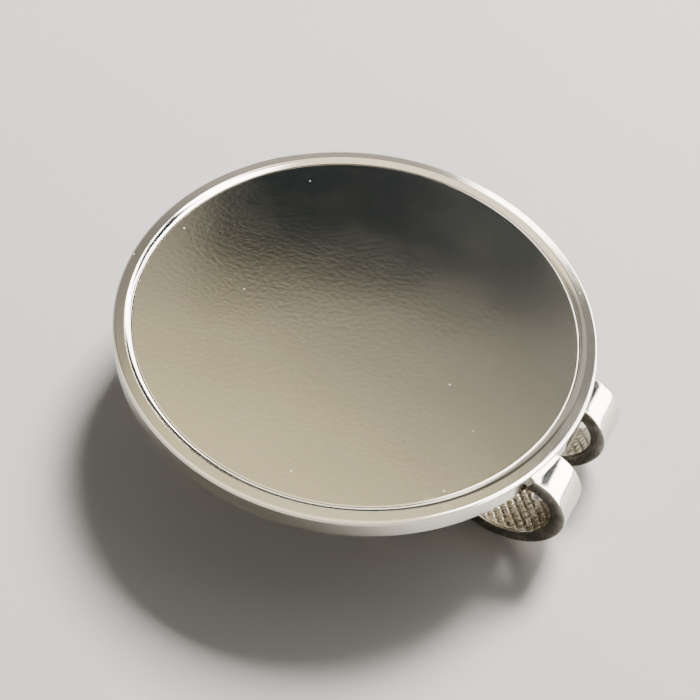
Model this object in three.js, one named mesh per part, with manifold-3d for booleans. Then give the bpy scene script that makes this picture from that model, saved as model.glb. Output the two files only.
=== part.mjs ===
// A round display tray on a folded spring clip.
// Millimetres, +Z up. The clip runs along X under the tray, and its bend sticks out past the rim at +X.
// The origin is at the middle of the object's footprint, on the surface that it stands on.

import * as THREE from "three";
import { mergeVertices } from "three/addons/utils/BufferGeometryUtils.js";
import Module from "manifold-3d";

const wasm = await Module();
wasm.setup();

// Tray: a shallow round casting with a raised rim and a pocket for the display disc.
const trayRadius = 15;
const trayHeight = 1.45;
const landInnerRadius = 14.28;
const recessDepth = 0.2;
const topEdgeRadius = 0.2;
const bottomEdgeRadius = 0.12;
const lipRadius = 0.06;
const wallSlope = radians(38);
const coveFootSlope = radians(16);
const turnSegments = 96;

// Display disc: a thin polished sheet bonded into the pocket.
const discThickness = 0.4;
const discEdgeRadius = 0.08;
const discSeam = 0.05;
const adhesiveThickness = 0.1;
const adhesiveInset = 0.3;

// Clip: one sheet folded through a little more than half a turn, with a slot that leaves two arms.
// The bend is tight where it leaves the tray and wider below. Radii are those of the sheet's middle.
const sheetThickness = 0.95;
const bendStart = 13.85;
const upperBendRadius = 2.4;
const upperBendTurn = radians(100);
const lowerBendRadius = 3.7;
const armTurn = radians(143);
const armWidth = 2.75;
const armPitch = 6.5;
const fixedLegSlotEnd = 11;
const leafSlotEnd = 14.15;
const slotCorner = 0.6;
const fixedLegEnd = -6.6;
const fixedLegCorner = 1.2;
const leafRise = radians(18);
const gripGap = 0.25;
const gripRadius = 3;
const flareAngle = radians(40);
const tipRadius = 2;
const tipFlat = 0.4;
const tipCorner = 2;

// Solder: a film between the fixed leg and the tray, and a bead along each free side of the leg.
const solderFilm = 0.03;
const beadSize = 0.55;
const beadSetback = 1.6;

// Clearance between pieces that touch.
const touchGap = 0.01;

// Vertices closer than this are one vertex when a mesh becomes a solid.
const mergeDistance = 1e-4;

// How finely curves are divided.
const arcStep = radians(7.5);
const roundingStep = radians(20);
const cornerSegments = 8;
const beadSegments = 4;

// Sizes that follow from the ones above.
const clipWidth = armPitch + armWidth;
const slotWidth = armPitch - armWidth;
const bendReach = bendStart + upperBendRadius + sheetThickness / 2;
const upperBendDrop = upperBendRadius * (1 - Math.cos(upperBendTurn));
const lowerBendDrop = lowerBendRadius * (1 + Math.cos(upperBendTurn));
const fixedLegTop = upperBendDrop + lowerBendDrop + sheetThickness;
const fixedLegBottom = fixedLegTop - sheetThickness;
const trayBottom = fixedLegTop + solderFilm + 2 * touchGap;
const recessFloor = trayBottom + trayHeight - recessDepth;
const gripHeight = fixedLegBottom - gripGap - sheetThickness / 2;
const footprintCentre = (bendReach - trayRadius) / 2;

const nickel = { color: 0xcfc9bd, roughness: 0.16, metalness: 1 };
const discNickel = { color: 0xc6c1b4, roughness: 0.28, metalness: 1 };
const springNickel = { color: 0xcdc7ba, roughness: 0.22, metalness: 1 };
const solderTin = { color: 0x9c9a94, roughness: 0.5, metalness: 1 };
const adhesiveFilm = { color: 0xd8d4c8, roughness: 0.8, metalness: 0 };

function radians(degrees) {
  return (degrees * Math.PI) / 180;
}

function namedMesh(name, geometry, finish) {
  const mesh = new THREE.Mesh(geometry, new THREE.MeshStandardMaterial(finish));
  mesh.name = name;
  return mesh;
}

// A profile of (radius, height) points turned about Z.
function turned(points) {
  return new THREE.LatheGeometry(points, turnSegments).rotateX(Math.PI / 2);
}

// A side outline of (x, height) extruded along Y, centred on y = 0.
function extrudedSideways(shape, width) {
  const options = { depth: width, bevelEnabled: false };
  return new THREE.ExtrudeGeometry(shape, options).translate(0, 0, -width / 2).rotateX(Math.PI / 2);
}

// A plan outline of (x, y) extruded upwards from a height.
function extrudedUpwards(shape, bottom, height) {
  const options = { depth: height, bevelEnabled: false, curveSegments: cornerSegments };
  return new THREE.ExtrudeGeometry(shape, options).translate(0, 0, bottom);
}

function solidOf(geometry) {
  const bare = geometry.clone().deleteAttribute("normal").deleteAttribute("uv");
  const merged = mergeVertices(bare, mergeDistance);
  const vertProperties = merged.attributes.position.array;
  const triVerts = new Uint32Array(merged.index.array);
  return new wasm.Manifold(new wasm.Mesh({ numProp: 3, vertProperties, triVerts }));
}

function geometryOf(solid) {
  const mesh = solid.getMesh();
  const geometry = new THREE.BufferGeometry();
  geometry.setAttribute("position", new THREE.BufferAttribute(mesh.vertProperties, 3));
  geometry.setIndex(new THREE.BufferAttribute(mesh.triVerts, 1));
  geometry.computeVertexNormals();
  return geometry;
}

// Points on a small rounding, from one angle to another in either direction.
function arc(x, y, radius, from, to) {
  const steps = Math.max(2, Math.ceil(Math.abs(to - from) / roundingStep));
  return Array.from({ length: steps + 1 }, (_, i) => {
    const angle = from + ((to - from) * i) / steps;
    return new THREE.Vector2(x + radius * Math.cos(angle), y + radius * Math.sin(angle));
  });
}

// The middle line of a bent sheet, from straight runs {length} and curved runs {turn, radius}.
// A turn is positive to the left.
function sheetLine(start, runs) {
  const line = [{ ...start }];
  for (const { length = 0, turn = 0, radius = 0 } of runs) {
    const steps = turn ? Math.ceil(Math.abs(turn) / arcStep / 2) * 2 : 1;
    for (let i = 0; i < steps; i++) {
      const { x, z, heading } = line.at(-1);
      const chord = turn ? 2 * radius * Math.sin(Math.abs(turn) / steps / 2) : length;
      const towards = heading + turn / steps / 2;
      line.push({
        x: x + chord * Math.cos(towards),
        z: z + chord * Math.sin(towards),
        heading: heading + turn / steps,
      });
    }
  }
  return line;
}

// The closed side outline of a sheet whose middle line is given.
function sheetOutline(line) {
  const side = (offset) =>
    line.map(
      ({ x, z, heading }) =>
        new THREE.Vector2(x - offset * Math.sin(heading), z + offset * Math.cos(heading)),
    );
  return new THREE.Shape([...side(-sheetThickness / 2), ...side(sheetThickness / 2).reverse()]);
}

// The clip's plan outline: round corners at the low-x end, and a slot open at the high-x end.
function clipPlan(lowX, highX, slotEndX, corner) {
  const half = clipWidth / 2;
  const slotHalf = slotWidth / 2;
  const slotTurnX = slotEndX + slotCorner;
  const plan = new THREE.Shape();
  plan.moveTo(lowX + corner, -half);
  plan.lineTo(highX, -half);
  plan.lineTo(highX, -slotHalf);
  plan.lineTo(slotTurnX, -slotHalf);
  plan.absarc(slotTurnX, slotCorner - slotHalf, slotCorner, -Math.PI / 2, -Math.PI, true);
  plan.absarc(slotTurnX, slotHalf - slotCorner, slotCorner, -Math.PI, -1.5 * Math.PI, true);
  plan.lineTo(highX, slotHalf);
  plan.lineTo(highX, half);
  plan.lineTo(lowX + corner, half);
  plan.absarc(lowX + corner, half - corner, corner, Math.PI / 2, Math.PI, false);
  plan.absarc(lowX + corner, corner - half, corner, Math.PI, 1.5 * Math.PI, false);
  return plan;
}

// The bead's section: a square corner at (0, 0) with its long side hollowed by an arc.
function beadSection() {
  const size = beadSize;
  const section = new THREE.Shape();
  section.moveTo(0, 0);
  section.lineTo(0, -size);
  section.absarc(size, -size, size, Math.PI, Math.PI / 2, true);
  return section;
}

// A bead lying along +X from x = 0, with its corner on that line, its sides towards +Y and -Z.
function beadGeometry(length) {
  const options = { depth: length, bevelEnabled: false, curveSegments: beadSegments };
  return new THREE.ExtrudeGeometry(beadSection(), options).rotateX(Math.PI / 2).rotateZ(Math.PI / 2);
}

// The rim's inner wall: a convex lip off the flat land, then a hollow cove down to the display disc.
function innerWall(top) {
  const lipEnd = {
    r: landInnerRadius - lipRadius * Math.sin(wallSlope),
    z: top - lipRadius * (1 - Math.cos(wallSlope)),
  };
  const coveRadius =
    (lipEnd.z - (top - recessDepth)) / (Math.cos(coveFootSlope) - Math.cos(wallSlope));
  const centreR = lipEnd.r - coveRadius * Math.sin(wallSlope);
  const centreZ = lipEnd.z + coveRadius * Math.cos(wallSlope);
  const lip = arc(landInnerRadius, top - lipRadius, lipRadius, Math.PI / 2, Math.PI / 2 + wallSlope);
  const coveStart = wallSlope - Math.PI / 2;
  const coveEnd = coveFootSlope - Math.PI / 2;
  const cove = arc(centreR, centreZ, coveRadius, coveStart, coveEnd);
  return [...lip, ...cove.slice(1)];
}

const wall = innerWall(trayBottom + trayHeight);
const pocketRadius = wall.at(-1).x;
const pocketFloor = recessFloor - discThickness - adhesiveThickness;

function trayGeometry() {
  const top = trayBottom + trayHeight;
  const bottomZ = trayBottom + bottomEdgeRadius;
  const topZ = top - topEdgeRadius;
  return turned([
    new THREE.Vector2(0, trayBottom),
    ...arc(trayRadius - bottomEdgeRadius, bottomZ, bottomEdgeRadius, -Math.PI / 2, 0),
    ...arc(trayRadius - topEdgeRadius, topZ, topEdgeRadius, 0, Math.PI / 2),
    ...wall,
    new THREE.Vector2(pocketRadius, pocketFloor),
    new THREE.Vector2(0, pocketFloor),
  ]);
}

function discGeometry() {
  const radius = pocketRadius - discSeam;
  const bottom = recessFloor - discThickness;
  return turned([
    new THREE.Vector2(0, bottom),
    new THREE.Vector2(radius, bottom),
    ...arc(radius - discEdgeRadius, recessFloor - discEdgeRadius, discEdgeRadius, 0, Math.PI / 2),
    new THREE.Vector2(0, recessFloor),
  ]);
}

function adhesiveGeometry() {
  const radius = pocketRadius - adhesiveInset;
  return turned([
    new THREE.Vector2(0, pocketFloor + touchGap),
    new THREE.Vector2(radius, pocketFloor + touchGap),
    new THREE.Vector2(radius, pocketFloor + adhesiveThickness - touchGap),
    new THREE.Vector2(0, pocketFloor + adhesiveThickness - touchGap),
  ]);
}

const bendLine = sheetLine({ x: bendStart, z: fixedLegTop - sheetThickness / 2, heading: 0 }, [
  { turn: -Math.PI / 2, radius: upperBendRadius },
  { turn: Math.PI / 2 - upperBendTurn, radius: upperBendRadius },
  { turn: upperBendTurn - armTurn, radius: lowerBendRadius },
]);

function bendArm(name, y) {
  const arm = namedMesh(name, extrudedSideways(sheetOutline(bendLine), armWidth), springNickel);
  arm.position.y = y;
  return arm;
}

function fixedLegGeometry() {
  const plan = clipPlan(fixedLegEnd, bendStart - touchGap, fixedLegSlotEnd, fixedLegCorner);
  return extrudedUpwards(plan, fixedLegBottom, sheetThickness);
}

// The middle line of the sprung leaf: the foot of the bend, a straight rise to the grip line,
// and a flare down to a flat tip. The leaf stands on its foot and its tip.
function leafLine() {
  const bendEnd = bendLine.at(-1);
  const start = { ...bendEnd, x: bendEnd.x - touchGap };
  const riseBottom = sheetThickness / 2 + lowerBendRadius * (1 - Math.cos(leafRise));
  const riseTop = gripHeight - gripRadius * (1 - Math.cos(leafRise));
  const flareTop = gripHeight - gripRadius * (1 - Math.cos(flareAngle));
  const flareBottom = sheetThickness / 2 + tipRadius * (1 - Math.cos(flareAngle));
  return sheetLine(start, [
    { turn: armTurn - Math.PI, radius: lowerBendRadius },
    { turn: -leafRise, radius: lowerBendRadius },
    { length: (riseTop - riseBottom) / Math.sin(leafRise) },
    { turn: leafRise, radius: gripRadius },
    { turn: flareAngle, radius: gripRadius },
    { length: (flareTop - flareBottom) / Math.sin(flareAngle) },
    { turn: -flareAngle, radius: tipRadius },
    { length: tipFlat },
  ]);
}

function leafGeometry() {
  const line = leafLine();
  const sheet = solidOf(extrudedSideways(sheetOutline(line), clipWidth));
  const plan = clipPlan(line.at(-1).x, bendReach, leafSlotEnd, tipCorner);
  const cutter = solidOf(extrudedUpwards(plan, -sheetThickness, fixedLegTop));
  return geometryOf(sheet.intersect(cutter));
}

function solderFilmGeometry() {
  const plan = clipPlan(fixedLegEnd, bendStart - beadSetback, fixedLegSlotEnd, fixedLegCorner);
  return extrudedUpwards(plan, fixedLegTop + touchGap, solderFilm);
}

// A bead in the corner between the fixed leg and the tray.
// It starts at (x, y), and its run along +X is turned about Z.
function bead(name, x, y, turn, length) {
  const mesh = namedMesh(name, beadGeometry(length), solderTin);
  mesh.position.set(x, y, trayBottom - touchGap);
  mesh.rotation.z = turn;
  return mesh;
}

const sideBeadLength = bendStart - beadSetback - fixedLegEnd - fixedLegCorner;
const endBeadLength = clipWidth - 2 * fixedLegCorner;
const beadOffset = clipWidth / 2 + touchGap;

const tray = new THREE.Group();
tray.add(
  namedMesh("bezel_tray", trayGeometry(), nickel),
  namedMesh("disc_adhesive", adhesiveGeometry(), adhesiveFilm),
  namedMesh("display_disc", discGeometry(), discNickel),
);

const clip = new THREE.Group();
clip.add(
  namedMesh("clip_fixed_leg", fixedLegGeometry(), springNickel),
  bendArm("clip_bend_near", -armPitch / 2),
  bendArm("clip_bend_far", armPitch / 2),
  namedMesh("clip_leaf", leafGeometry(), springNickel),
);

const solder = new THREE.Group();
solder.add(
  namedMesh("solder_film", solderFilmGeometry(), solderTin),
  bead("solder_bead_far", fixedLegEnd + fixedLegCorner, beadOffset, 0, sideBeadLength),
  bead("solder_bead_near", bendStart - beadSetback, -beadOffset, Math.PI, sideBeadLength),
  bead("solder_bead_end", fixedLegEnd - touchGap, -endBeadLength / 2, Math.PI / 2, endBeadLength),
);

const displayFrame = new THREE.Group();
displayFrame.add(tray, clip, solder);
displayFrame.position.x = -footprintCentre;

export default displayFrame;
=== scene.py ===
# A round display tray on a folded spring clip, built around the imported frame.
# Shapes are made in millimetres in the frame's axes, with x measured from the tray's axis, and are
# stored in metres.

import math

import bpy
import numpy as np
from mathutils import Matrix, Vector, geometry, noise


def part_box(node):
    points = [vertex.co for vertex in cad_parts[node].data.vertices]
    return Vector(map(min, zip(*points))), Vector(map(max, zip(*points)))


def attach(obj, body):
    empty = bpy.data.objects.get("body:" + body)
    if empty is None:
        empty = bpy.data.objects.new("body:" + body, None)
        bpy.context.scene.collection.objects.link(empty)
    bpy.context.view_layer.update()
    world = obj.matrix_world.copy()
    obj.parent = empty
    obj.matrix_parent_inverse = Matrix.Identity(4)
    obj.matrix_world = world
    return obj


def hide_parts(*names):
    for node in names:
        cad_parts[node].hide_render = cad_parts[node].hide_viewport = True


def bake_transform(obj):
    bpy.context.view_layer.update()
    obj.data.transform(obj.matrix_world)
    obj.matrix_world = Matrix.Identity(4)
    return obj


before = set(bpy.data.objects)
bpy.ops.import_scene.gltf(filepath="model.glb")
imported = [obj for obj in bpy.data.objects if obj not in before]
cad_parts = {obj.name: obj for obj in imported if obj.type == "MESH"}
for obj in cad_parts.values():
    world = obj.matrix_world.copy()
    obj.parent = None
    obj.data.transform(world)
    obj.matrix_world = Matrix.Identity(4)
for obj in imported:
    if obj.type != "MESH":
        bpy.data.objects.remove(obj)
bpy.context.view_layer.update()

MM = 0.001
TAU = 2 * math.pi
PI = math.pi


def corners_mm(node):
    low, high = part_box(node)
    return low / MM, high / MM


tray_low, tray_high = corners_mm("bezel_tray")
disc_low, disc_high = corners_mm("display_disc")
leg_low, leg_high = corners_mm("clip_fixed_leg")
arm_low, arm_high = corners_mm("clip_bend_near")

TRAY_X = (tray_low.x + tray_high.x) / 2
TRAY_RADIUS = (tray_high.x - tray_low.x) / 2
TRAY_TOP = tray_high.z
TRAY_BOTTOM = tray_low.z
DISC_RADIUS = (disc_high.x - disc_low.x) / 2
DISC_TOP = disc_high.z
DISC_BOTTOM = disc_low.z

# The rim, as in the frame, but for LAND_FALL, which is the visual's own: the land slopes outwards by it.
LAND_INNER_RADIUS = 14.28
TOP_EDGE_RADIUS = 0.2
BOTTOM_EDGE_RADIUS = 0.12
LIP_RADIUS = 0.06
WALL_SLOPE = math.radians(38)
COVE_FOOT_SLOPE = math.radians(16)
LAND_FALL = 0.04
DISC_EDGE_RADIUS = 0.08
ADHESIVE_THICKNESS = 0.1

# The folded sheet, as in the frame, but for CUT_EDGE_RADIUS, which is the visual's own. The radii of the
# bends are those of the sheet's middle.
SHEET = leg_high.z - leg_low.z
LEG_END = leg_low.x - TRAY_X
LEG_CORNER = 1.2
BEND_START = 13.85
UPPER_RADIUS = 2.4
UPPER_TURN = math.radians(100)
LOWER_RADIUS = 3.7
ARM_TURN = math.radians(143)
LEAF_RISE = math.radians(18)
GRIP_RADIUS = 3.0
GRIP_GAP = 0.25
FLARE = math.radians(40)
TIP_RADIUS = 2.0
TIP_FLAT = 0.4
TIP_CORNER = 2.0
CLIP_HALF = leg_high.y
SLOT_HALF = -arm_high.y
LEG_SLOT_END = 11.0
LEAF_SLOT_LENGTH = 0.757  # from the seam to the end of the slot, along the sheet
SLOT_CORNER = 0.6
CUT_EDGE_RADIUS = 0.13
CUT_EDGE_STEPS = 5

# Knurling: two sets of slanting grooves pressed into the inner side of the sheet.
KNURL_PITCH = 0.52
KNURL_DEPTH = 0.1
KNURL_POINTS = 9  # mesh steps in one repeat of the pattern along the sheet
KNURL_STEP = KNURL_PITCH * math.sqrt(2) / KNURL_POINTS
GROOVE_SHARE = 0.36
PLAIN_BORDER = 0.16
PLAIN_STEP = 0.5  # across the plain outer side

# Solder: one lumpy fillet around the fixed leg.
SOLDER_SIZE = 0.5
SOLDER_END = 12.2
SOLDER_GAP = 0.01
SOLDER_SECTION = 9  # points round the fillet's section
SOLDER_SIDE_STEPS = 90
SOLDER_END_STEPS = 50
SOLDER_CORNER_STEPS = 10
SOLDER_TAPER_STEPS = 8
SOLDER_TIP = 0.6  # in taper steps, so that the ends don't come to a point
SOLDER_MEAN = 0.78
SOLDER_LUMPS = ((0.7, 0.2, Vector((0, 0, 3))), (2.3, 0.1, Vector((0, 0, 9))))
SOLDER_SHARP_ANGLE = math.radians(50)

# The turned pieces: steps round them, and along the parts of their profiles.
TRAY_STEPS = 540
DISC_STEPS = 360
SIDE_STEPS = 6
LAND_STEPS = 8
UNDERSIDE_STEPS = 14
FACE_STEPS = 34
LIP_STEPS = 8
COVE_STEPS = 10
TOP_EDGE_STEPS = 8
BOTTOM_EDGE_STEPS = 6
DISC_EDGE_STEPS = 6
AXIS_RING = 0.4  # radius of the small ring next to the axis
GUARD = 0.03  # from an edge to the line that keeps the shading flat beside it

# Unevenness, as (noise scale per millimetre, height in millimetres, shift of the noise).
CASTING_WAVES = ((0.35, 0.008, Vector((0, 0, 0))), (1.1, 0.002, Vector((7, 3, 1))))
DISC_WAVE = (0.22, 0.006, Vector((2, 5, 0)))


# ---------------------------------------------------------------- mesh helpers

def make_object(name, points, faces, materials, face_materials=None):
    """A smooth-shaded mesh object from points in millimetres, with x measured from the tray's axis."""
    mesh = bpy.data.meshes.new(name)
    mesh.from_pydata([((x + TRAY_X) * MM, y * MM, z * MM) for x, y, z in points], [], faces)
    for material in materials:
        mesh.materials.append(material)
    if face_materials is not None:
        mesh.polygons.foreach_set("material_index", face_materials)
    mesh.shade_smooth()
    mesh.update()
    obj = bpy.data.objects.new(name, mesh)
    bpy.context.collection.objects.link(obj)
    return obj


def arc(x, y, radius, start, end, steps):
    """Points along an arc, its ends included."""
    angles = [start + (end - start) * i / steps for i in range(steps + 1)]
    return [(x + radius * math.cos(a), y + radius * math.sin(a)) for a in angles]


def lathe(profile, steps, shift=None):
    """Turns a (radius, height) profile, which starts and ends on the axis, into points and outward faces."""
    rings = profile[1:-1]
    points = [(0, 0, profile[0][1])]
    for radius, height in rings:
        for j in range(steps):
            angle = TAU * j / steps
            point = Vector((radius * math.cos(angle), radius * math.sin(angle), height))
            points.append(tuple(point + shift(point) if shift else point))
    points.append((0, 0, profile[-1][1]))
    last = len(points) - 1
    faces = []
    for j in range(steps):
        k = (j + 1) % steps
        faces.append((0, 1 + k, 1 + j))
        for i in range(len(rings) - 1):
            a, b = 1 + i * steps, 1 + (i + 1) * steps
            faces.append((a + j, a + k, b + k, b + j))
        top = 1 + (len(rings) - 1) * steps
        faces.append((top + j, top + k, last))
    return points, faces


def spaced(start, end, count):
    """Evenly spaced (radius, height) points between two, its ends left out."""
    return [
        (start[0] + (end[0] - start[0]) * i / count, start[1] + (end[1] - start[1]) * i / count)
        for i in range(1, count)
    ]


# ---------------------------------------------------------------- materials

# Noise scales are per millimetre, and bump depths are in millimetres. A span is the stretch of a value over
# which something fades in. Colours are linear red, green, blue and alpha.
PATCH_SCALE = 0.22
PATCH_SPAN = (0.35, 0.7)
PATCH_STAIN = 0.12
FINE_SCALE = 9.0
FINE_PEEL = 0.15  # the fine grain's share of the orange peel's depth
PEEL_SCALE = 3.2
NOISE_SPAN = (0.3, 0.7)
HOLLOW_SPAN = (0.5, 0.42)
HOLLOW_STAIN = 0.6
HOLLOW_ROUGHNESS = 0.15
EDGE_SPAN = (0.515, 0.58)
EDGE_GAIN = 0.25
CLEAN_EDGE = (0.95, 0.93, 0.88, 1)
SCRATCH_LENGTH = 3.5
SCRATCH_FINENESS = 26.0
SCRATCH_SHARE = 0.27
SCRATCH_FADE = 0.03
SCRATCH_PATCH_SCALE = 0.35
SCRATCH_PATCH_SPAN = (0.5, 0.62)
SCRATCH_ROUGHNESS = 0.05
SCRATCH_BUMP = -0.0002
DUST_PER_MM = 3.0
DUST_SIZE = 0.06
DUST_BUMP = 0.012
DUST_ROUGHNESS = 0.5
DUST_COVER = 0.9
DUST_COLOUR = (0.82, 0.8, 0.74, 1)
STREAK_SCALE = (6, 6, 1.5)
STREAK_SHARE = 0.15
STREAK_BUMP = 0.0008
CUT_CLOUD_SCALE = 0.9
CUT_CLOUD_BUMP = 0.01
CUT_SPAN = (0.35, 0.62)
CUT_ROUGHNESS = (0.2, 0.3)
SOLDER_CLOUD_SCALE = 1.6
SOLDER_CLOUD_BUMP = 0.03
SOLDER_FINE_SCALE = 12.0
SOLDER_FINE_BUMP = 0.004
SOLDER_ROUGHNESS = (0.34, 0.6)
SOLDER_DARK = (0.34, 0.335, 0.325, 1)
SOLDER_LIGHT = (0.62, 0.61, 0.585, 1)
BOND_CLOUD_SCALE = 0.8
BOND_CLOUD_BUMP = 0.01
BOND_ROUGHNESS = (0.35, 0.6)
BOND_DARK = (0.78, 0.75, 0.66, 1)
BOND_LIGHT = (0.88, 0.86, 0.8, 1)


def add(tree, kind, inputs=None, **settings):
    """Adds a shader node, with its settings and its inputs, each a value or another node's output."""
    node = tree.nodes.new(kind)
    for key, value in settings.items():
        setattr(node, key, value)
    for key, value in (inputs or {}).items():
        if isinstance(value, bpy.types.NodeSocket):
            tree.links.new(value, node.inputs[key])
        else:
            node.inputs[key].default_value = value
    return node


def calc(tree, operation, a, b=0.0, clamp=False):
    return add(tree, "ShaderNodeMath", {0: a, 1: b}, operation=operation, use_clamp=clamp).outputs[0]


def remap(tree, value, from_low, from_high, to_low=0.0, to_high=1.0):
    """A smooth step from to_low, where value is from_low, to to_high, where it is from_high."""
    inputs = {
        "Value": value,
        "From Min": from_low,
        "From Max": from_high,
        "To Min": to_low,
        "To Max": to_high,
    }
    return add(tree, "ShaderNodeMapRange", inputs, interpolation_type="SMOOTHSTEP").outputs[0]


def mixed(tree, factor, a, b):
    """Blend of two colours."""
    node = add(tree, "ShaderNodeMix", data_type="RGBA")
    for key, value in (("Factor_Float", factor), ("A_Color", a), ("B_Color", b)):
        socket = next(s for s in node.inputs if s.identifier == key)
        if isinstance(value, bpy.types.NodeSocket):
            tree.links.new(value, socket)
        else:
            socket.default_value = value
    return next(s for s in node.outputs if s.identifier == "Result_Color")


def in_mm(tree, scale=(1, 1, 1), turn=(0, 0, 0)):
    """The object's own coordinates in millimetres, stretched and turned."""
    place = add(tree, "ShaderNodeTexCoord").outputs["Object"]
    turned = add(tree, "ShaderNodeMapping", {"Vector": place, "Rotation": turn}).outputs[0]
    size = tuple(s / MM for s in scale)
    return add(tree, "ShaderNodeMapping", {"Vector": turned, "Scale": size}).outputs[0]


def noise_of(tree, vector, scale, detail=2.0, roughness=0.5):
    inputs = {"Vector": vector, "Scale": scale, "Detail": detail, "Roughness": roughness}
    return add(tree, "ShaderNodeTexNoise", inputs).outputs["Fac"]


def scratches(tree, turn, length, fineness, share):
    """Fine straight scratches at one angle: 1 on a scratch, 0 elsewhere."""
    lines = noise_of(tree, in_mm(tree, (1 / length, fineness, 1), (0, 0, turn)), 1.0, 1.0)
    where = noise_of(tree, in_mm(tree, (1, 1, 1), (0, 0, turn + 1)), SCRATCH_PATCH_SCALE, 1.0)
    thin = remap(tree, lines, 1 - share, 1 - share + SCRATCH_FADE)
    return calc(tree, "MULTIPLY", thin, remap(tree, where, *SCRATCH_PATCH_SPAN))


def specks(tree, per_mm, size, share):
    """Scattered round specks: 1 on a speck, 0 elsewhere. share is the part of the cells that hold one."""
    cells = add(tree, "ShaderNodeTexVoronoi", {"Vector": in_mm(tree), "Scale": per_mm})
    channels = add(tree, "ShaderNodeSeparateColor", {"Color": cells.outputs["Color"]})
    chosen = calc(tree, "LESS_THAN", channels.outputs["Red"], share)
    radius = calc(tree, "MULTIPLY", channels.outputs["Green"], size * per_mm)
    inside = calc(tree, "LESS_THAN", cells.outputs["Distance"], radius)
    return calc(tree, "MULTIPLY", chosen, inside)


def sum_of(tree, values):
    total = values[0]
    for value in values[1:]:
        total = calc(tree, "ADD", total, value)
    return total


def bumped(tree, layers):
    """Bump from (height, depth in millimetres) layers, one on the other."""
    normal = None
    for height, depth in layers:
        inputs = {"Height": height, "Distance": depth * MM, "Strength": 1.0}
        if normal:
            inputs["Normal"] = normal
        normal = add(tree, "ShaderNodeBump", inputs).outputs[0]
    return normal


def new_material(name):
    material = bpy.data.materials.new(name)
    material.use_nodes = True
    material.node_tree.nodes.clear()
    return material, material.node_tree


def finish_material(tree, inputs):
    shader = add(tree, "ShaderNodeBsdfPrincipled", inputs)
    add(tree, "ShaderNodeOutputMaterial", {"Surface": shader.outputs[0]})


def plated(name, colour, tarnish, roughness, haze, peel, scratch_angles, speck_share):
    """Nickel plate: tarnish in the hollows, cleaner edges, faint haze, orange peel, scratches and dust."""
    material, tree = new_material(name)
    cloud = noise_of(tree, in_mm(tree), PATCH_SCALE, detail=4.0, roughness=0.6)
    patches = remap(tree, cloud, *PATCH_SPAN)
    fine = noise_of(tree, in_mm(tree), FINE_SCALE, detail=3.0)
    point = add(tree, "ShaderNodeNewGeometry").outputs["Pointiness"]
    hollow = remap(tree, point, *HOLLOW_SPAN)
    edge = remap(tree, point, *EDGE_SPAN)
    sets = [scratches(tree, a, SCRATCH_LENGTH, SCRATCH_FINENESS, SCRATCH_SHARE) for a in scratch_angles]
    lines = sum_of(tree, sets)
    dust = specks(tree, DUST_PER_MM, DUST_SIZE, speck_share)
    patch_stain = calc(tree, "MULTIPLY", patches, PATCH_STAIN)
    hollow_stain = calc(tree, "MULTIPLY", hollow, HOLLOW_STAIN)
    base = mixed(tree, calc(tree, "ADD", patch_stain, hollow_stain, clamp=True), colour, tarnish)
    base = mixed(tree, calc(tree, "MULTIPLY", edge, EDGE_GAIN), base, CLEAN_EDGE)
    base = mixed(tree, dust, base, DUST_COLOUR)
    rough = sum_of(
        tree,
        [
            remap(tree, patches, 0, 1, roughness, roughness + haze),
            remap(tree, fine, *NOISE_SPAN, 0, haze),
            calc(tree, "MULTIPLY", lines, SCRATCH_ROUGHNESS),
            calc(tree, "MULTIPLY", hollow, HOLLOW_ROUGHNESS),
            calc(tree, "MULTIPLY", dust, DUST_ROUGHNESS),
        ],
    )
    grain = noise_of(tree, in_mm(tree), PEEL_SCALE, detail=3.0, roughness=0.55)
    layers = [(grain, peel), (fine, peel * FINE_PEEL), (lines, SCRATCH_BUMP), (dust, DUST_BUMP)]
    finish_material(
        tree,
        {
            "Base Color": base,
            "Metallic": calc(tree, "SUBTRACT", 1.0, calc(tree, "MULTIPLY", dust, DUST_COVER)),
            "Roughness": rough,
            "Normal": bumped(tree, layers),
        },
    )
    return material


def sheared(name, colour, dark):
    """The plated cut edge of the sheet: duller than the faces, cloudy, with faint streaks. Its colours are
    dark partly for the dull sheared face and partly as painted shade, so that the edge looks as if it
    mirrored a shaded floor.
    """
    material, tree = new_material(name)
    streak = noise_of(tree, in_mm(tree, STREAK_SCALE), 1.0, detail=3.0, roughness=0.55)
    cloud = noise_of(tree, in_mm(tree), CUT_CLOUD_SCALE, detail=3.0)
    streak_part = calc(tree, "MULTIPLY", streak, STREAK_SHARE)
    cloud_part = calc(tree, "MULTIPLY", cloud, 1 - STREAK_SHARE)
    shade = calc(tree, "ADD", streak_part, cloud_part)
    base = mixed(tree, remap(tree, shade, *CUT_SPAN), dark, colour)
    rough = remap(tree, streak, *NOISE_SPAN, *CUT_ROUGHNESS)
    normal = bumped(tree, [(streak, STREAK_BUMP), (cloud, CUT_CLOUD_BUMP)])
    finish_material(tree, {"Base Color": base, "Metallic": 1.0, "Roughness": rough, "Normal": normal})
    return material


def soldered(name):
    """Dull, cloudy soft solder."""
    material, tree = new_material(name)
    cloud = noise_of(tree, in_mm(tree), SOLDER_CLOUD_SCALE, detail=5.0, roughness=0.65)
    fine = noise_of(tree, in_mm(tree), SOLDER_FINE_SCALE, detail=3.0)
    base = mixed(tree, remap(tree, cloud, *NOISE_SPAN), SOLDER_DARK, SOLDER_LIGHT)
    rough = remap(tree, cloud, *NOISE_SPAN, *SOLDER_ROUGHNESS)
    normal = bumped(tree, [(cloud, SOLDER_CLOUD_BUMP), (fine, SOLDER_FINE_BUMP)])
    finish_material(tree, {"Base Color": base, "Metallic": 1.0, "Roughness": rough, "Normal": normal})
    return material


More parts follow.
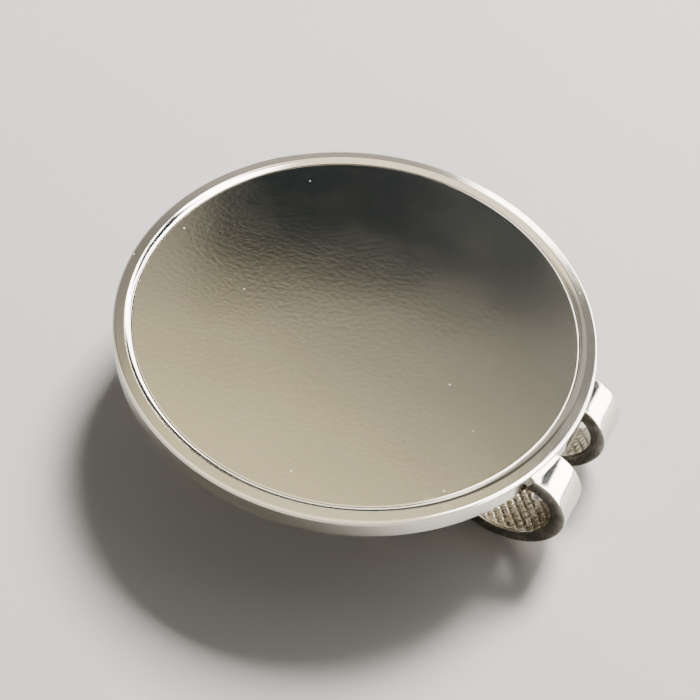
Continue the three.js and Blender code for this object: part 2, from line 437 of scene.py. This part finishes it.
def bonding(name):
    """A thin cured film of adhesive."""
    material, tree = new_material(name)
    cloud = noise_of(tree, in_mm(tree), BOND_CLOUD_SCALE, detail=4.0)
    base = mixed(tree, cloud, BOND_DARK, BOND_LIGHT)
    rough = remap(tree, cloud, *NOISE_SPAN, *BOND_ROUGHNESS)
    normal = bumped(tree, [(cloud, BOND_CLOUD_BUMP)])
    finish_material(tree, {"Base Color": base, "Roughness": rough, "Normal": normal})
    return material


nickel = plated(
    "polished_nickel",
    colour=(0.78, 0.745, 0.68, 1),
    tarnish=(0.5, 0.45, 0.36, 1),
    roughness=0.06,
    haze=0.03,
    peel=0.0012,
    scratch_angles=(0.3, 1.7),
    speck_share=0.03,
)
disc_plate = plated(
    "disc_nickel",
    colour=(0.74, 0.71, 0.645, 1),
    tarnish=(0.62, 0.58, 0.5, 1),
    roughness=0.09,
    haze=0.015,
    peel=0.0033,
    scratch_angles=(0.9, 2.3),
    speck_share=0.018,
)
spring_plate = plated(
    "spring_nickel",
    colour=(0.77, 0.735, 0.665, 1),
    tarnish=(0.36, 0.31, 0.23, 1),
    roughness=0.08,
    haze=0.05,
    peel=0.002,
    scratch_angles=(0.1, 1.4),
    speck_share=0.03,
)
# Painted shade: the knurled inner face's colour and tarnish are darker and browner than the outer plate's,
# partly for the duller knurl and partly to paint in the shade of the clip's inside, under the tray.
knurled = plated(
    "knurled_nickel_painted_shade",
    colour=(0.52, 0.475, 0.395, 1),
    tarnish=(0.13, 0.11, 0.08, 1),
    roughness=0.14,
    haze=0.1,
    peel=0.002,
    scratch_angles=(0.1, 1.4),
    speck_share=0.05,
)
# Painted shade: these cut edge colours are darker than a dull sheared face alone, so that the edge looks as
# if it mirrored a shaded floor.
cut_edge_with_painted_shade = sheared("sheared_edge_painted_shade", colour=(0.25, 0.24, 0.21, 1), dark=(0.15, 0.143, 0.122, 1))
solder = soldered("solder")
adhesive = bonding("bond_film")


# ---------------------------------------------------------------- tray and disc

def wave(point, scale, height, shift):
    return noise.noise(point * scale + shift) * height


def casting_wave(point):
    """The slight unevenness of a hand-polished casting: outwards, and half as much upwards."""
    amount = sum(wave(point, *settings) for settings in CASTING_WAVES)
    outward = Vector((point.x, point.y, 0)).normalized()
    return outward * amount + Vector((0, 0, amount * 0.5))


def disc_wave(point):
    return Vector((0, 0, wave(point, *DISC_WAVE)))


def inner_wall():
    """From the flat land over the lip and down the cove to the display disc."""
    lip_end_r = LAND_INNER_RADIUS - LIP_RADIUS * math.sin(WALL_SLOPE)
    lip_end_z = TRAY_TOP - LIP_RADIUS * (1 - math.cos(WALL_SLOPE))
    cove = (lip_end_z - DISC_TOP) / (math.cos(COVE_FOOT_SLOPE) - math.cos(WALL_SLOPE))
    centre_r = lip_end_r - cove * math.sin(WALL_SLOPE)
    centre_z = lip_end_z + cove * math.cos(WALL_SLOPE)
    lip = arc(LAND_INNER_RADIUS, TRAY_TOP - LIP_RADIUS, LIP_RADIUS, PI / 2, PI / 2 + WALL_SLOPE, LIP_STEPS)
    hollow = arc(centre_r, centre_z, cove, WALL_SLOPE - PI / 2, COVE_FOOT_SLOPE - PI / 2, COVE_STEPS)
    return lip + hollow[1:]


def build_tray():
    """The profile runs from the axis along the underside, up the outer wall and back in over the rim."""
    wall = inner_wall()
    pocket = wall[-1][0]
    floor = DISC_BOTTOM - ADHESIVE_THICKNESS
    bottom_flat = TRAY_RADIUS - BOTTOM_EDGE_RADIUS
    side_low = TRAY_BOTTOM + BOTTOM_EDGE_RADIUS
    side_high = TRAY_TOP - LAND_FALL - TOP_EDGE_RADIUS
    land_start = (TRAY_RADIUS - TOP_EDGE_RADIUS, TRAY_TOP - LAND_FALL)
    land_end = (LAND_INNER_RADIUS, TRAY_TOP)
    profile = [(0, TRAY_BOTTOM), (AXIS_RING, TRAY_BOTTOM)]
    profile += spaced((AXIS_RING, TRAY_BOTTOM), (bottom_flat, TRAY_BOTTOM), UNDERSIDE_STEPS)
    profile += [(bottom_flat - GUARD, TRAY_BOTTOM)]
    profile += arc(bottom_flat, side_low, BOTTOM_EDGE_RADIUS, -PI / 2, 0, BOTTOM_EDGE_STEPS)
    profile += [(TRAY_RADIUS, side_low + GUARD)]
    profile += spaced((TRAY_RADIUS, side_low), (TRAY_RADIUS, side_high), SIDE_STEPS)
    profile += [(TRAY_RADIUS, side_high - GUARD)]
    profile += arc(TRAY_RADIUS - TOP_EDGE_RADIUS, side_high, TOP_EDGE_RADIUS, 0, PI / 2, TOP_EDGE_STEPS)
    profile += spaced(land_start, land_end, LAND_STEPS)
    profile += wall
    profile += [(pocket, DISC_TOP - GUARD), (pocket, floor), (pocket - GUARD, floor)]
    profile += [(AXIS_RING, floor), (0, floor)]
    points, faces = lathe(profile, TRAY_STEPS, casting_wave)
    tray = make_object("tray", points, faces, [nickel])
    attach(tray, "tray")
    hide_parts("bezel_tray")


def build_disc():
    """The profile runs from the axis along the underside, round the edge and back in over the face."""
    edge = DISC_RADIUS - DISC_EDGE_RADIUS
    profile = [(0, DISC_BOTTOM), (AXIS_RING, DISC_BOTTOM)]
    profile += [(DISC_RADIUS - GUARD, DISC_BOTTOM), (DISC_RADIUS, DISC_BOTTOM + GUARD)]
    profile += arc(edge, DISC_TOP - DISC_EDGE_RADIUS, DISC_EDGE_RADIUS, 0, PI / 2, DISC_EDGE_STEPS)
    profile += [(edge - GUARD, DISC_TOP)]
    profile += spaced((edge, DISC_TOP), (AXIS_RING, DISC_TOP), FACE_STEPS)
    profile += [(AXIS_RING, DISC_TOP), (0, DISC_TOP)]
    points, faces = lathe(profile, DISC_STEPS, disc_wave)
    disc = make_object("disc", points, faces, [disc_plate])
    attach(disc, "tray")
    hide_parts("display_disc")


build_tray()
build_disc()


# ---------------------------------------------------------------- the folded sheet

TINY = 1e-9
NO_LENGTH = 1e-12
MERGE_DISTANCE = 1e-7
NEARLY_STRAIGHT = 0.02  # sine of the turn between two sides
LEAST_CORNER_STEPS = 4
GRID_MARGIN = 0.6  # least distance from the outline to the grid, in steps
SHOULDER = 2  # steps of each edge's rounding that look like the face beside it

# A piece's materials, in the order of its material slots.
PLAIN_FACE, CUT_FACE, KNURLED_FACE = range(3)

# How much the knurling's depth varies.
WEAR_LEAST = 0.8
WEAR_RANGE = 0.4
WEAR_SCALE = 0.6


class Fold:
    """The middle line of the sheet, from the end of the fixed leg, round the bend, to the tip of the leaf."""

    def __init__(self, x, z, runs):
        self.runs = []
        heading, s = 0.0, 0.0
        for length, turn, radius in runs:
            length = abs(turn) * radius if turn else length
            self.runs.append((s, x, z, heading, length, turn))
            x, z, heading = self.along((x, z, heading), length, turn / length if turn else 0.0)
            s += length
        self.length = s

    @staticmethod
    def along(start, distance, curvature):
        x, z, heading = start
        if not curvature:
            return x + distance * math.cos(heading), z + distance * math.sin(heading), heading
        end = heading + distance * curvature
        x += (math.sin(end) - math.sin(heading)) / curvature
        z -= (math.cos(end) - math.cos(heading)) / curvature
        return x, z, end

    def place(self, s, y, height):
        """The point of the folded sheet at s along, y across and height off the middle, positive outside."""
        run = max((r for r in self.runs if r[0] <= s + TINY), key=lambda r: r[0])
        start, x, z, heading, length, turn = run
        x, z, heading = self.along((x, z, heading), s - start, turn / length if turn else 0.0)
        return x - height * math.sin(heading), y, z + height * math.cos(heading)


rise_bottom = SHEET / 2 + LOWER_RADIUS * (1 - math.cos(LEAF_RISE))
grip_z = leg_low.z - GRIP_GAP - SHEET / 2
rise_top = grip_z - GRIP_RADIUS * (1 - math.cos(LEAF_RISE))
flare_top = grip_z - GRIP_RADIUS * (1 - math.cos(FLARE))
flare_bottom = SHEET / 2 + TIP_RADIUS * (1 - math.cos(FLARE))
fold = Fold(
    LEG_END,
    leg_low.z + SHEET / 2,
    [
        (BEND_START - LEG_END, 0, 0),
        (0, -UPPER_TURN, UPPER_RADIUS),
        (0, UPPER_TURN - ARM_TURN, LOWER_RADIUS),
        (0, ARM_TURN - PI - LEAF_RISE, LOWER_RADIUS),
        ((rise_top - rise_bottom) / math.sin(LEAF_RISE), 0, 0),
        (0, LEAF_RISE + FLARE, GRIP_RADIUS),
        ((flare_top - flare_bottom) / math.sin(FLARE), 0, 0),
        (0, -FLARE, TIP_RADIUS),
        (TIP_FLAT, 0, 0),
    ],
)
BEND_S = BEND_START - LEG_END
SEAM_S = BEND_S + UPPER_TURN * UPPER_RADIUS + (ARM_TURN - UPPER_TURN) * LOWER_RADIUS


def outline(corners, step):
    """A counter-clockwise outline with points about a step apart, and a seam flag for each of its sides.

    Each corner is (s, y, corner radius, seam), where seam says that the side from it meets the next piece.
    """
    count = len(corners)
    sides, flags = [], []
    for i, (s, y, radius, seam) in enumerate(corners):
        here = Vector((s, y))
        before = (Vector(corners[i - 1][:2]) - here).normalized()
        after = (Vector(corners[(i + 1) % count][:2]) - here).normalized()
        if radius:
            start, end = here + before * radius, here + after * radius
            centre = here + (before + after) * radius
            steps = max(LEAST_CORNER_STEPS, round(radius * PI / 2 / step))
            first, last = start - centre, end - centre
            turn = first.angle_signed(last)
            for k in range(steps + 1):
                angle = -turn * k / steps
                spoke = Vector(
                    (
                        first.x * math.cos(angle) - first.y * math.sin(angle),
                        first.x * math.sin(angle) + first.y * math.cos(angle),
                    )
                )
                sides.append(centre + spoke)
                flags.append(False)
            flags[-1] = seam
        else:
            sides.append(here)
            flags.append(seam)
    points, seams = [], []
    for i, here in enumerate(sides):
        there = sides[(i + 1) % len(sides)]
        pieces = max(1, round((there - here).length / step))
        for k in range(pieces):
            points.append(here.lerp(there, k / pieces))
            seams.append(flags[i])
    return points, seams


def insets(points, seams):
    """How each outline point moves for an inset of 1, with the sides on a seam kept in place."""
    moves = []
    for i, here in enumerate(points):
        before = (here - points[i - 1]).normalized()
        after = (points[(i + 1) % len(points)] - here).normalized()
        n1, n2 = Vector((-before.y, before.x)), Vector((-after.y, after.x))
        a1, a2 = float(not seams[i - 1]), float(not seams[i])
        cross = n1.x * n2.y - n1.y * n2.x
        if abs(cross) < NEARLY_STRAIGHT:
            moves.append((n1 + n2) / 2 * (a1 + a2) / 2)
        else:
            moves.append(Vector(((a1 * n2.y - a2 * n1.y) / cross, (a2 * n1.x - a1 * n2.x) / cross)))
    return moves


def inside_points(loop, step_s, step_y, margin):
    """Grid points inside a closed loop, at least margin from it, and how far each is from it."""
    ring = np.array([tuple(p) for p in loop])
    nxt = np.roll(ring, -1, axis=0)
    s = np.arange(math.ceil(ring[:, 0].min() / step_s), ring[:, 0].max() / step_s) * step_s
    y = np.arange(math.ceil(ring[:, 1].min() / step_y), ring[:, 1].max() / step_y) * step_y
    grid = np.stack(np.meshgrid(s, y, indexing="ij"), -1).reshape(-1, 2)
    inside = np.zeros(len(grid), bool)
    nearest = np.full(len(grid), np.inf)
    for a, b in zip(ring, nxt):
        crosses = (a[1] > grid[:, 1]) != (b[1] > grid[:, 1])
        if a[1] != b[1]:
            inside ^= crosses & (grid[:, 0] < (b[0] - a[0]) * (grid[:, 1] - a[1]) / (b[1] - a[1]) + a[0])
        side = b - a
        t = np.clip(((grid - a) @ side) / max(side @ side, NO_LENGTH), 0, 1)
        nearest = np.minimum(nearest, np.hypot(*(grid - a - t[:, None] * side).T))
    keep = inside & (nearest > margin)
    return grid[keep], nearest[keep]


def knurl(s, y):
    """Depth of the knurling, as a share: 0 on the teeth, 1 at the bottom of the grooves."""
    u = abs(2 * (((s + y) / math.sqrt(2) / KNURL_PITCH) % 1) - 1)
    v = abs(2 * (((s - y) / math.sqrt(2) / KNURL_PITCH) % 1) - 1)
    cut = max(0.0, max(u, v) - 1 + GROOVE_SHARE) / GROOVE_SHARE
    return cut * cut * (3 - 2 * cut)


def sheet_piece(name, corners):
    """A piece of the folded sheet: cut out flat with rounded edges, knurled on its inner side, and folded."""
    loop, seams = outline(corners, KNURL_STEP)
    moves = insets(loop, seams)
    half = SHEET / 2
    r = CUT_EDGE_RADIUS
    angles = [PI / 2 * k / CUT_EDGE_STEPS for k in range(CUT_EDGE_STEPS + 1)]
    rounding = [(r * (1 - math.sin(a)), r * (1 - math.cos(a))) for a in angles]
    rings = [(inset, -half + rise) for inset, rise in rounding]
    rings += [(inset, half - rise) for inset, rise in reversed(rounding)]
    count = len(loop)
    flat, kinds, faces = [], [], []
    for inset, height in rings:
        flat += [(p.x + m.x * inset, p.y + m.y * inset, height) for p, m in zip(loop, moves)]
    for i in range(len(rings) - 1):
        for j in range(count):
            k = (j + 1) % count
            faces.append((i * count + j, i * count + k, (i + 1) * count + k, (i + 1) * count + j))
            kinds.append(CUT_FACE if SHOULDER <= i < len(rings) - 1 - SHOULDER else PLAIN_FACE)
    for ring, step_y, inner in ((0, KNURL_STEP, True), (len(rings) - 1, PLAIN_STEP, False)):
        base = ring * count
        edge = [Vector(p[:2]) for p in flat[base : base + count]]
        grid, distance = inside_points(edge, KNURL_STEP, step_y, KNURL_STEP * GRID_MARGIN)
        start = len(flat)
        for (s, y), d in zip(grid.tolist(), distance.tolist()):
            depth = 0.0
            if inner:
                wear = WEAR_LEAST + WEAR_RANGE * noise.noise(Vector((s * WEAR_SCALE, y * WEAR_SCALE, 0)))
                depth = KNURL_DEPTH * knurl(s, y) * wear * min(1.0, d / PLAIN_BORDER)
            flat.append((s, y, rings[ring][1] + depth))
        plan = edge + [Vector(p) for p in grid.tolist()]
        found = geometry.delaunay_2d_cdt(plan, [], [list(range(count))], 1, MERGE_DISTANCE)
        where = [o[0] + base if o[0] < count else start + o[0] - count for o in found[3]]
        for face in found[2]:
            ids = [where[v] for v in face]
            faces.append(tuple(reversed(ids)) if inner else tuple(ids))
            kinds.append(KNURLED_FACE if inner else PLAIN_FACE)
    points = [fold.place(*p) for p in flat]
    piece = make_object(name, points, faces, [spring_plate, cut_edge_with_painted_shade, knurled], kinds)
    flush = {(j, (j + 1) % count) for j in range(count) if seams[j]}
    mark_seam_sharp(piece.data, flush, count, len(rings))
    return piece


def mark_seam_sharp(mesh, flush, count, ring_count):
    """Sharp edges round each end face on a seam, so that the sheet shades smoothly across it."""
    last = (ring_count - 1) * count
    wanted = {frozenset(side) for side in flush}
    wanted |= {frozenset((a + last, b + last)) for a, b in flush}
    ends = {j for side in flush for j in side}
    for j in ends:
        if sum(j in side for side in flush) == 1:
            wanted |= {frozenset((i * count + j, (i + 1) * count + j)) for i in range(ring_count - 1)}
    for edge in mesh.edges:
        if frozenset(edge.vertices) in wanted:
            edge.use_edge_sharp = True


def build_clip():
    slot_s = LEG_SLOT_END - LEG_END
    leg = sheet_piece(
        "fixed_leg",
        [
            (0, -CLIP_HALF, LEG_CORNER, False),
            (BEND_S, -CLIP_HALF, 0, True),
            (BEND_S, -SLOT_HALF, 0, False),
            (slot_s, -SLOT_HALF, SLOT_CORNER, False),
            (slot_s, SLOT_HALF, SLOT_CORNER, False),
            (BEND_S, SLOT_HALF, 0, True),
            (BEND_S, CLIP_HALF, 0, False),
            (0, CLIP_HALF, LEG_CORNER, False),
        ],
    )
    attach(leg, "tray")
    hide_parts("clip_fixed_leg")
    seam_top = fold.place(SEAM_S, 0, -SHEET / 2)[2]
    for name, low, high in (("bend_near", -CLIP_HALF, -SLOT_HALF), ("bend_far", SLOT_HALF, CLIP_HALF)):
        arm = sheet_piece(
            name,
            [
                (BEND_S, low, 0, False),
                (SEAM_S, low, 0, True),
                (SEAM_S, high, 0, False),
                (BEND_S, high, 0, True),
            ],
        )
        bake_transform(arm)
        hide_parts("clip_" + name)
    tip = fold.length
    slot_end = SEAM_S + LEAF_SLOT_LENGTH
    leaf = sheet_piece(
        "leaf",
        [
            (SEAM_S, -CLIP_HALF, 0, False),
            (tip, -CLIP_HALF, TIP_CORNER, False),
            (tip, CLIP_HALF, TIP_CORNER, False),
            (SEAM_S, CLIP_HALF, 0, True),
            (SEAM_S, SLOT_HALF, 0, False),
            (slot_end, SLOT_HALF, SLOT_CORNER, False),
            (slot_end, -SLOT_HALF, SLOT_CORNER, False),
            (SEAM_S, -SLOT_HALF, 0, True),
        ],
    )
    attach(leaf, "leaf")
    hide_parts("clip_leaf")


build_clip()


# ---------------------------------------------------------------- solder

def solder_path():
    """Points and outward directions along one side of the fixed leg, round its end and back."""
    side = CLIP_HALF + SOLDER_GAP
    corner = LEG_CORNER + SOLDER_GAP
    corner_x = LEG_END + LEG_CORNER
    end_y = CLIP_HALF - LEG_CORNER

    def rounded(centre_y, first):
        for k in range(1, SOLDER_CORNER_STEPS):
            angle = first - PI / 2 * k / SOLDER_CORNER_STEPS
            out = (math.cos(angle), math.sin(angle))
            yield (corner_x + corner * out[0], centre_y + corner * out[1]), out

    path = [((x, -side), (0, -1)) for x in np.linspace(SOLDER_END, corner_x, SOLDER_SIDE_STEPS)]
    path += rounded(-end_y, -PI / 2)
    path += [((LEG_END - SOLDER_GAP, y), (-1, 0)) for y in np.linspace(-end_y, end_y, SOLDER_END_STEPS)]
    path += rounded(end_y, -PI)
    path += [((x, side), (0, 1)) for x in np.linspace(corner_x, SOLDER_END, SOLDER_SIDE_STEPS)]
    return path


def build_solder():
    """One hollow-faced fillet of solder round three sides of the fixed leg, uneven along its length."""
    path = solder_path()
    section = SOLDER_SECTION
    top = TRAY_BOTTOM - SOLDER_GAP
    angles = [PI / 2 * k / (section - 2) for k in range(section - 1)]
    points, faces = [], []
    for i, ((x, y), out) in enumerate(path):
        from_end = min(i, len(path) - 1 - i)
        taper = min(1.0, math.sqrt((from_end + SOLDER_TIP) / SOLDER_TAPER_STEPS))
        lump = SOLDER_MEAN + sum(wave(Vector((x, y, 0)), *settings) for settings in SOLDER_LUMPS)
        size = SOLDER_SIZE * taper * lump
        ring = [(0, 0)] + [(size * (1 - math.cos(a)), -size * (1 - math.sin(a))) for a in angles]
        points += [(x + out[0] * reach, y + out[1] * reach, top + drop) for reach, drop in ring]
    for i in range(len(path) - 1):
        for j in range(section):
            k = (j + 1) % section
            faces.append((i * section + j, (i + 1) * section + j, (i + 1) * section + k, i * section + k))
    last = (len(path) - 1) * section
    faces.append(tuple(range(section)))
    faces.append(tuple(reversed(range(last, last + section))))
    fillet = make_object("solder_fillet", points, faces, [solder])
    fillet.data.set_sharp_from_angle(angle=SOLDER_SHARP_ANGLE)
    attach(fillet, "tray")
    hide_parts("solder_bead_near", "solder_bead_far", "solder_bead_end")


build_solder()

# The two films inside keep the frame's shapes.
for node, material in (("solder_film", solder), ("disc_adhesive", adhesive)):
    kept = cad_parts[node]
    kept.data.materials.clear()
    kept.data.materials.append(material)


# ---------------------------------------------------------------- camera

# Where the photo was taken from, about the middle of the tray's top. The camera looks a little to one side of
# that point, by the two turns, which are tangents.
VIEW_AZIMUTH = math.radians(22.73)
VIEW_ELEVATION = math.radians(49.01)
VIEW_DISTANCE = 80.4
VIEW_ROLL = math.radians(7.21)
FOCAL_LENGTH = 66.86
TURN_RIGHT = 0.006154
TURN_UP = 0.027
NEAR_CLIP = 0.005
FAR_CLIP = 10


def build_camera():
    a, e = VIEW_AZIMUTH, VIEW_ELEVATION
    back = Vector((math.sin(a) * math.cos(e), -math.cos(a) * math.cos(e), math.sin(e)))
    right = Vector((math.cos(a), math.sin(a), 0))
    down = (-back).cross(right)
    across = right * math.cos(VIEW_ROLL) - down * math.sin(VIEW_ROLL)
    below = right * math.sin(VIEW_ROLL) + down * math.cos(VIEW_ROLL)
    level = Matrix((across, below, -back))
    turn = Vector((0, 0, 1)).rotation_difference(Vector((TURN_RIGHT, -TURN_UP, 1))).to_matrix()
    across, below, ahead = turn @ level
    data = bpy.data.cameras.new("camera")
    data.lens = FOCAL_LENGTH
    data.clip_start = NEAR_CLIP
    data.clip_end = FAR_CLIP
    camera = bpy.data.objects.new("camera", data)
    bpy.context.collection.objects.link(camera)
    place = Matrix((across, -below, -ahead)).transposed().to_4x4()
    place.translation = (Vector((TRAY_X, 0, TRAY_TOP)) + back * VIEW_DISTANCE) * MM
    camera.matrix_world = place
    bpy.context.scene.camera = camera


build_camera()


# ---------------------------------------------------------------- light and floor

KEY_AZIMUTH = 0
KEY_ELEVATION = 51
KEY_DISTANCE = 0.4
KEY_SIZE = 0.13
KEY_POWER = 8.6
KEY_COLOUR = (1.0, 0.97, 0.92)

FLOOR_HALF = 1.5
FLOOR_ROUGHNESS = 0.6
FLOOR_CLOUD_SCALE = 0.02
FLOOR_DARK = (0.34, 0.337, 0.33, 1)
FLOOR_LIGHT = (0.38, 0.377, 0.369, 1)

# The studio. The backdrop is what the camera sees, the fill is what lights the dull surfaces, and the rest is
# what the plating mirrors.
BACKDROP = (0.52, 0.52, 0.51, 1)
FILL = (0.2, 0.2, 0.195, 1)
HORIZON = (0.42, 0.41, 0.39, 1)
CEILING = (2.1, 1.85, 1.4, 1)
LOW_WALL = (0.62, 0.585, 0.52, 1)
HIGH_WALL = (0.3, 0.29, 0.26, 1)
DIM_PANEL = (0.29, 0.28, 0.245, 1)
BRIGHT_PANEL = (1.3, 1.13, 0.7, 1)
PALE_STRIP = (3.0, 2.9, 2.6, 1)
DARK_SCREEN = (0.11, 0.105, 0.09, 1)
PANE = (13.0, 12.6, 11.8, 1)
WINDOW = (17.0, 16.5, 15.5, 1)
DARK_BRANCH = (0.03, 0.04, 0.055, 1)
DARK_CARD = (0.014, 0.022, 0.028, 1)
PANEL_CURVE = 1.8

# The slant of an edge: how much of another measure is taken off the one that it limits.
PANEL_SLANT = 0.25
WINDOW_SIDE_SLANT = 0.6
WINDOW_SILL_SLANT = -0.35

# The branch is side plus a noise of this scale and spread, about this place. The card's place is a side too.
BRANCH_SCALE = 7.0
BRANCH_SPREAD = 0.4
BRANCH_PLACE = 0.8
CARD_PLACE = 0.02


def area_light(name, azimuth, elevation, distance, size, power, colour):
    """A square light looking at the object, which the plating doesn't mirror.

    Azimuth is turned from +Y towards -X, in degrees, and distance and size are in metres.
    """
    a, e = math.radians(azimuth), math.radians(elevation)
    out = Vector((-math.sin(a) * math.cos(e), math.cos(a) * math.cos(e), math.sin(e)))
    data = bpy.data.lights.new(name, "AREA")
    data.size = size
    data.energy = power
    data.color = colour
    light = bpy.data.objects.new(name, data)
    bpy.context.collection.objects.link(light)
    light.visible_glossy = False
    light.location = out * distance
    light.rotation_euler = out.to_track_quat("Z", "Y").to_euler()


def build_world():
    """A soft studio: a pale backdrop and fill, and the panels and cards that the plating mirrors.

    A direction is given by side, to the camera's right, ahead, away from the camera, and height, each
    from -1 to 1. A patch is given by (measure, start, full): where a measure starts to let the patch show,
    and where it shows in full.
    """
    world = bpy.data.worlds.new("studio")
    world.use_nodes = True
    tree = world.node_tree
    tree.nodes.clear()
    way = add(tree, "ShaderNodeTexCoord").outputs["Generated"]

    def along(x, y):
        inputs = {0: way, 1: (x, y, 0)}
        return add(tree, "ShaderNodeVectorMath", inputs, operation="DOT_PRODUCT").outputs["Value"]

    def less(value, amount, other):
        """value without amount times other."""
        return calc(tree, "SUBTRACT", value, calc(tree, "MULTIPLY", other, amount))

    def off(value, centre):
        return calc(tree, "ABSOLUTE", calc(tree, "SUBTRACT", value, centre))

    def patch(*limits):
        total = remap(tree, *limits[0])
        for limit in limits[1:]:
            total = calc(tree, "MULTIPLY", total, remap(tree, *limit))
        return total

    height = add(tree, "ShaderNodeSeparateXYZ", {"Vector": way}).outputs["Z"]
    ahead = along(-math.sin(VIEW_AZIMUTH), math.cos(VIEW_AZIMUTH))
    side = along(math.cos(VIEW_AZIMUTH), math.sin(VIEW_AZIMUTH))

    # Behind the camera and overhead: a broad warm ceiling. Ahead: a dimmer wall, darker higher up.
    ceiling = mixed(tree, patch((height, 0.1, 0.35)), HORIZON, CEILING)
    wall = mixed(tree, patch((height, 0.58, 0.66)), LOW_WALL, HIGH_WALL)
    sky = mixed(tree, patch((ahead, 0.3, 0.5)), ceiling, wall)

    # A warm panel high ahead, brighter upwards and to the left.
    panel = patch((off(side, 0), 0.34, 0.18), (height, 0.6, 0.68), (ahead, 0.3, 0.5))
    rise = calc(tree, "POWER", patch((less(height, PANEL_SLANT, side), 0.68, 0.88)), PANEL_CURVE)
    sky = mixed(tree, panel, sky, mixed(tree, rise, DIM_PANEL, BRIGHT_PANEL))

    # A pale strip low ahead, and a dark screen in front of its foot that is taller to the right.
    strip = patch((height, 0.46, 0.42), (ahead, 0.45, 0.55), (off(side, 0), 0.17, 0.13))
    sky = mixed(tree, strip, sky, PALE_STRIP)
    screen_top = remap(tree, side, 0.1, 0.14, 0.22, 0.35)
    over_screen = calc(tree, "SUBTRACT", height, screen_top)
    screen = patch((over_screen, 0.02, -0.02), (ahead, 0.45, 0.55), (side, -0.5, -0.4))
    sky = mixed(tree, screen, sky, DARK_SCREEN)

    # A tall window that reaches far to the right, with a lower and dimmer pane beside it.
    pane = patch((side, 0.1, 0.14), (height, 0.36, 0.39), (height, 0.63, 0.61), (ahead, 0.0, 0.2))
    sky = mixed(tree, pane, sky, PANE)
    tall = patch(
        (less(side, WINDOW_SIDE_SLANT, ahead), -0.02, 0.06),
        (less(height, WINDOW_SILL_SLANT, ahead), 0.55, 0.6),
        (height, 0.97, 0.93),
        (ahead, -0.15, 0.0),
    )
    far_right = patch((side, 0.78, 0.84), (height, 0.03, 0.08))
    sky = mixed(tree, calc(tree, "MAXIMUM", tall, far_right), sky, WINDOW)

    # A ragged dark branch in front of the window.
    spread = calc(tree, "MULTIPLY", noise_of(tree, way, BRANCH_SCALE, detail=3.0), BRANCH_SPREAD)
    ragged = calc(tree, "ADD", side, spread)
    branch = patch((off(ragged, BRANCH_PLACE), 0.15, 0.12), (height, 0.5, 0.56), (ahead, 0.2, 0.26))
    sky = mixed(tree, branch, sky, DARK_BRANCH)

    # A dark card straight ahead.
    card = patch(
        (height, 0.625, 0.64),
        (height, 0.765, 0.715),
        (off(side, CARD_PLACE), 0.17, 0.12),
        (ahead, 0.3, 0.5),
    )
    sky = mixed(tree, card, sky, DARK_CARD)

    rays = add(tree, "ShaderNodeLightPath")
    seen = mixed(tree, rays.outputs["Is Glossy Ray"], FILL, sky)
    seen = mixed(tree, rays.outputs["Is Camera Ray"], seen, BACKDROP)
    background = add(tree, "ShaderNodeBackground", {"Color": seen, "Strength": 1.0})
    add(tree, "ShaderNodeOutputWorld", {"Surface": background.outputs[0]})
    bpy.context.scene.world = world


def build_floor():
    material, tree = new_material("pale_floor")
    cloud = noise_of(tree, in_mm(tree), FLOOR_CLOUD_SCALE, detail=3.0)
    base = mixed(tree, cloud, FLOOR_DARK, FLOOR_LIGHT)
    finish_material(tree, {"Base Color": base, "Roughness": FLOOR_ROUGHNESS})
    half = FLOOR_HALF
    corners = [(-half, -half, 0), (half, -half, 0), (half, half, 0), (-half, half, 0)]
    mesh = bpy.data.meshes.new("floor")
    mesh.from_pydata(corners, [], [(0, 1, 2, 3)])
    mesh.materials.append(material)
    floor = bpy.data.objects.new("floor", mesh)
    bpy.context.collection.objects.link(floor)


build_world()
build_floor()
area_light("key", KEY_AZIMUTH, KEY_ELEVATION, KEY_DISTANCE, KEY_SIZE, KEY_POWER, KEY_COLOUR)
